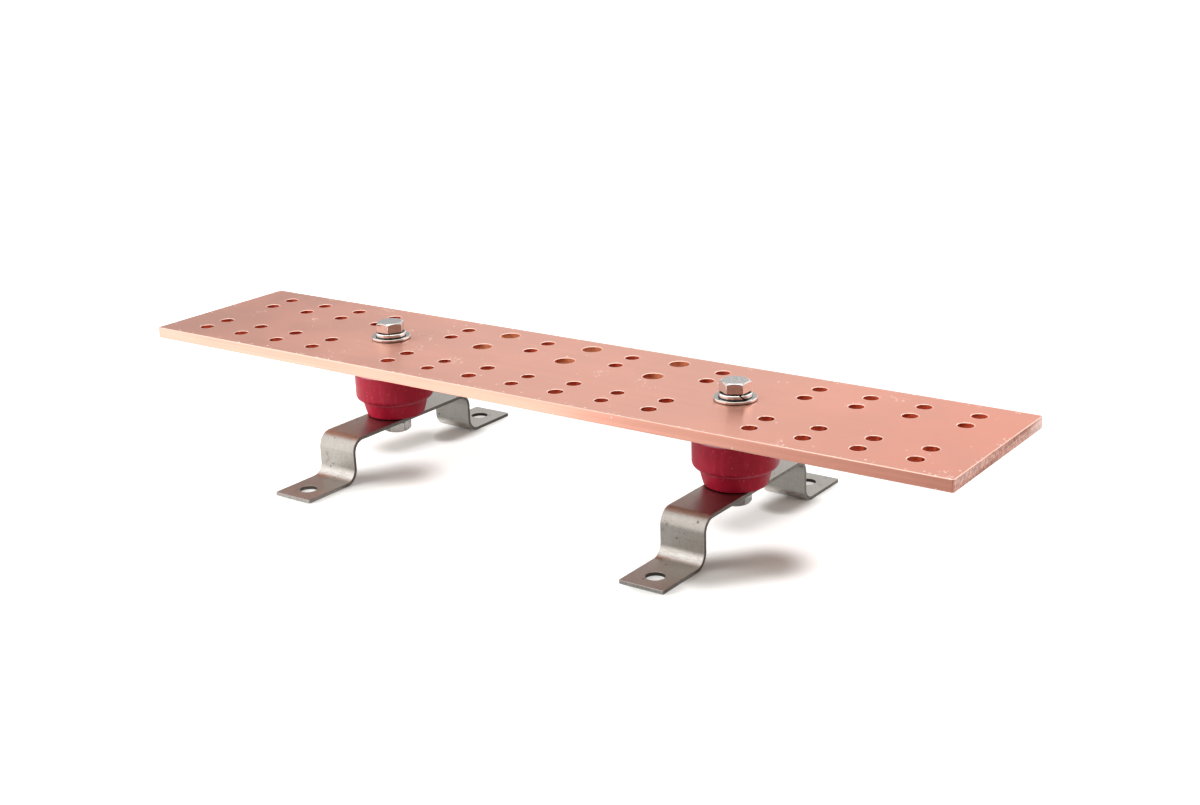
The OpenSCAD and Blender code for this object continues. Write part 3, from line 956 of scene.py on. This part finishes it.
washer_low, washer_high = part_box("bar_flat_washer_left")
washer_r = (washer_high.x - washer_low.x) / 2
washer_t = washer_high.z - washer_low.z
washer_round = 0.35 * MM
washer_edge = 0.08 * MM
washer_bore = bolt_hole / 2
bore_edge = 0.1 * MM
washer_turns = 128
section = [(washer_bore, bore_edge), (washer_bore + bore_edge, 0)]
section += [(washer_r - washer_edge, 0), (washer_r, washer_edge)]
section += arc(washer_r - washer_round, washer_t - washer_round, washer_round, 0, 90, 5)
section += [(washer_bore + 2 * bore_edge, washer_t), (washer_bore, washer_t - 2 * bore_edge)]
# Its lowest band is darker: partly the punch's rough lower edge, partly painted shade where it
# meets the copper.
plate_steel = stainless(
    "stamped stainless", (0.80, 0.775, 0.75), roughness=0.12, lines=(300, 1600, 1600), pits=0.03,
    mottling=0.2, top=0.42, painted_shade_bands=[(washer_low.z - 0.1 * MM, washer_low.z + 0.6 * MM)])
settle("flat_washers", smooth(paired(
    turned(section, washer_turns, washer_low.z, closed=True), plate_steel)),
    "flat_washer", "bar_flat_washer_left", "bar_flat_washer_right")


# ---- Brackets ----
# Stainless strip, sheared to length, punched and bent to an arch with two feet. Its mill finish
# runs along the strip, and the stretched bends are paler, partly as a painted highlight.

bracket_low, bracket_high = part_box("bracket_left")
foot_holes = frame["record"]["mounts"][0]["dims"]
foot_hole_r = foot_holes["hole_r_mm"] * MM
foot_hole_y = foot_holes["spacing_y_mm"] / 2 * MM
strip_w = bracket_high.x - bracket_low.x
strip_t = 2.0 * MM
strip_edge = 0.22 * MM
bend_r = 6.35 * MM
bend_steps = 14
arch_half = 50.8 * MM
foot_corner = 0.8 * MM
punch_points = 72
punch_length = 0.2

bent, given = shape_tree("Bent strip", "Line", (
    "Width", "Thickness", "Bend radius", "Arch hole", "Foot hole", "Foot hole Y"), None, "Strip")
tree = bent
line = add(tree, "GeometryNodeMeshToCurve", {"Mesh": given["Line"]})
middle_r = plus(tree, given["Bend radius"], times(tree, given["Thickness"], 0.5))
bends = add(tree, "GeometryNodeFilletCurve", {
    "Curve": line, "Count": bend_steps, "Radius": middle_r}, mode="POLY")
section = add(tree, "GeometryNodeCurvePrimitiveQuadrilateral", {
    "Width": given["Width"], "Height": given["Thickness"]})
strip = add(tree, "GeometryNodeCurveToMesh", {
    "Curve": add(tree, "GeometryNodeSetCurveNormal", {"Curve": bends}, mode="Z_UP"),
    "Profile Curve": section, "Fill Caps": True})


def punch(radius, y):
    """A rod through the strip where a hole goes."""
    rod = add(tree, "GeometryNodeMeshCylinder", {
        "Vertices": punch_points, "Radius": radius, "Depth": punch_length})
    return add(tree, "GeometryNodeTransform", {
        "Geometry": rod, "Translation": vector_of(tree, y=y)})


cut = add(tree, "GeometryNodeMeshBoolean", {"Mesh 1": strip}, operation="DIFFERENCE",
          solver="EXACT")
rods = joined(tree, punch(given["Arch hole"], 0.0), punch(given["Foot hole"], given["Foot hole Y"]),
              punch(given["Foot hole"], times(tree, given["Foot hole Y"], -1)))
tree.links.new(rods.outputs[0], cut.inputs[1])
add(tree, "NodeGroupOutput", {0: add(tree, "GeometryNodeSetShadeSmooth", {
    "Geometry": cut, "Shade Smooth": True})})

half_t = strip_t / 2
bend_y = arch_half - half_t
path = [(bracket_low.y, half_t), (-bend_y, half_t), (-bend_y, bracket_high.z - half_t),
        (bend_y, bracket_high.z - half_t), (bend_y, half_t), (bracket_high.y, half_t)]
line = bpy.data.meshes.new("strip line")
line.from_pydata([(0, y, z) for y, z in path], [(i, i + 1) for i in range(len(path) - 1)], [])
strip_mesh = grown(line, bent, Width=strip_w, Thickness=strip_t, Bend_radius=bend_r,
                   Arch_hole=bolt_hole / 2, Foot_hole=foot_hole_r - strip_edge,
                   Foot_hole_Y=foot_hole_y)

# The feet's upright corners are rounded first, and then every edge of the strip and its holes.
corners = strip_mesh.attributes.new("bevel_weight_edge", "FLOAT", "EDGE")
for edge, weight in zip(strip_mesh.edges, corners.data):
    a, b = (strip_mesh.vertices[i].co for i in edge.vertices)
    at_end = min(abs(a.y), abs(b.y)) > bracket_high.y - 0.01 * MM
    weight.value = 1 if at_end and abs(a.z - b.z) > half_t else 0
strip_mesh = worked(
    strip_mesh,
    ("BEVEL", {"width": foot_corner, "segments": 5, "limit_method": "WEIGHT"}),
    ("BEVEL", {"width": strip_edge, "segments": 3, "limit_method": "ANGLE",
               "angle_limit": radians(50)}),
    ("WEIGHTED_NORMAL", {"keep_sharp": True}))

strip_steel = bpy.data.materials.new("mill finish stainless strip")
tree = emptied(strip_steel)
x, y, z = parts_of(tree, object_point(tree))
to_side, to_end, to_top = normal_parts(tree)
cut_face = ramp(tree, size_of(tree, to_side), 0.6, 0.9)
sheared_end = times(tree, ramp(tree, size_of(tree, to_end), 0.6, 0.9),
                    maths(tree, "LESS_THAN", z, strip_t + 0.1 * MM))
hole_x = minus(tree, size_of(tree, x), standoff_x)
hole_y = minus(tree, size_of(tree, y), foot_hole_y)
from_hole = vectors(tree, "LENGTH", vector_of(tree, hole_x, hole_y))
punched = times(tree, maths(tree, "LESS_THAN", from_hole, foot_hole_r + 0.35 * MM),
                ramp(tree, size_of(tree, to_top), 0.7, 0.4))
bend = times(tree, ramp(tree, size_of(tree, times(tree, to_end, to_top)), 0.15, 0.5),
             maths(tree, "LESS_THAN", z, bend_r + strip_t))
line = use(tree, streaks, Scale=(1500, 60, 60))
shear = use(tree, streaks, Scale=(900, 900, 60))
side_shear = use(tree, streaks, Scale=(60, 700, 700))
crease = ramp(tree, use(tree, streaks, Scale=(260, 1400, 1400)), 0.36, 0.58, 0.35, 1.0)
mottle = use(tree, clouds, Scale=900.0, Low=0.3, High=0.7)
cloud = use(tree, clouds, Scale=110.0, Low=0.35, High=0.7)
smudge = use(tree, clouds, Scale=170.0, Low=0.62, High=0.74)
pit = use(tree, flecks, Scale=1500.0, Share=0.07, Size=0.5)
spot = use(tree, flecks, Scale=450.0, Share=0.06, Size=0.38)
colour = coated(
    tree, mixed(tree, mottle, (0.36, 0.333, 0.30, 1), (0.43, 0.402, 0.365, 1)),
    (ramp(tree, line, 0.35, 0.7, 0.0, 0.4), (0.31, 0.28, 0.255, 1)),  # rolling lines
    (times(tree, cloud, 0.25), (0.47, 0.44, 0.405, 1)),
    (larger(tree, times(tree, pit, 0.35), times(tree, spot, 0.65)), (0.08, 0.065, 0.055, 1)),
    (times(tree, bend, crease), (0.57, 0.54, 0.505, 1)),  # creased, partly a painted highlight
    (times(tree, smudge, 0.45), (0.17, 0.145, 0.125, 1)),
    # The slit sides and the sheared ends are darker, and the foot holes' walls are painted shade.
    (cut_face, mixed(tree, side_shear, (0.07, 0.06, 0.052, 1), (0.22, 0.195, 0.175, 1))),
    (sheared_end, mixed(tree, shear, (0.16, 0.14, 0.125, 1), (0.50, 0.47, 0.43, 1))),
    (punched, (0.06, 0.05, 0.042, 1)))
rough = plus(tree, ramp(tree, mottle, 0.0, 1.0, 0.3, 0.38),
             times(tree, larger(tree, cut_face, sheared_end), 0.15))
surface(tree, plus(tree, times(tree, line, 0.5), mottle), 0.01 * MM, 0.5, Base_Color=colour,
        Metallic=1.0, Roughness=rough)

settle("brackets", paired(strip_mesh, strip_steel), "bracket", "bracket_left", "bracket_right")
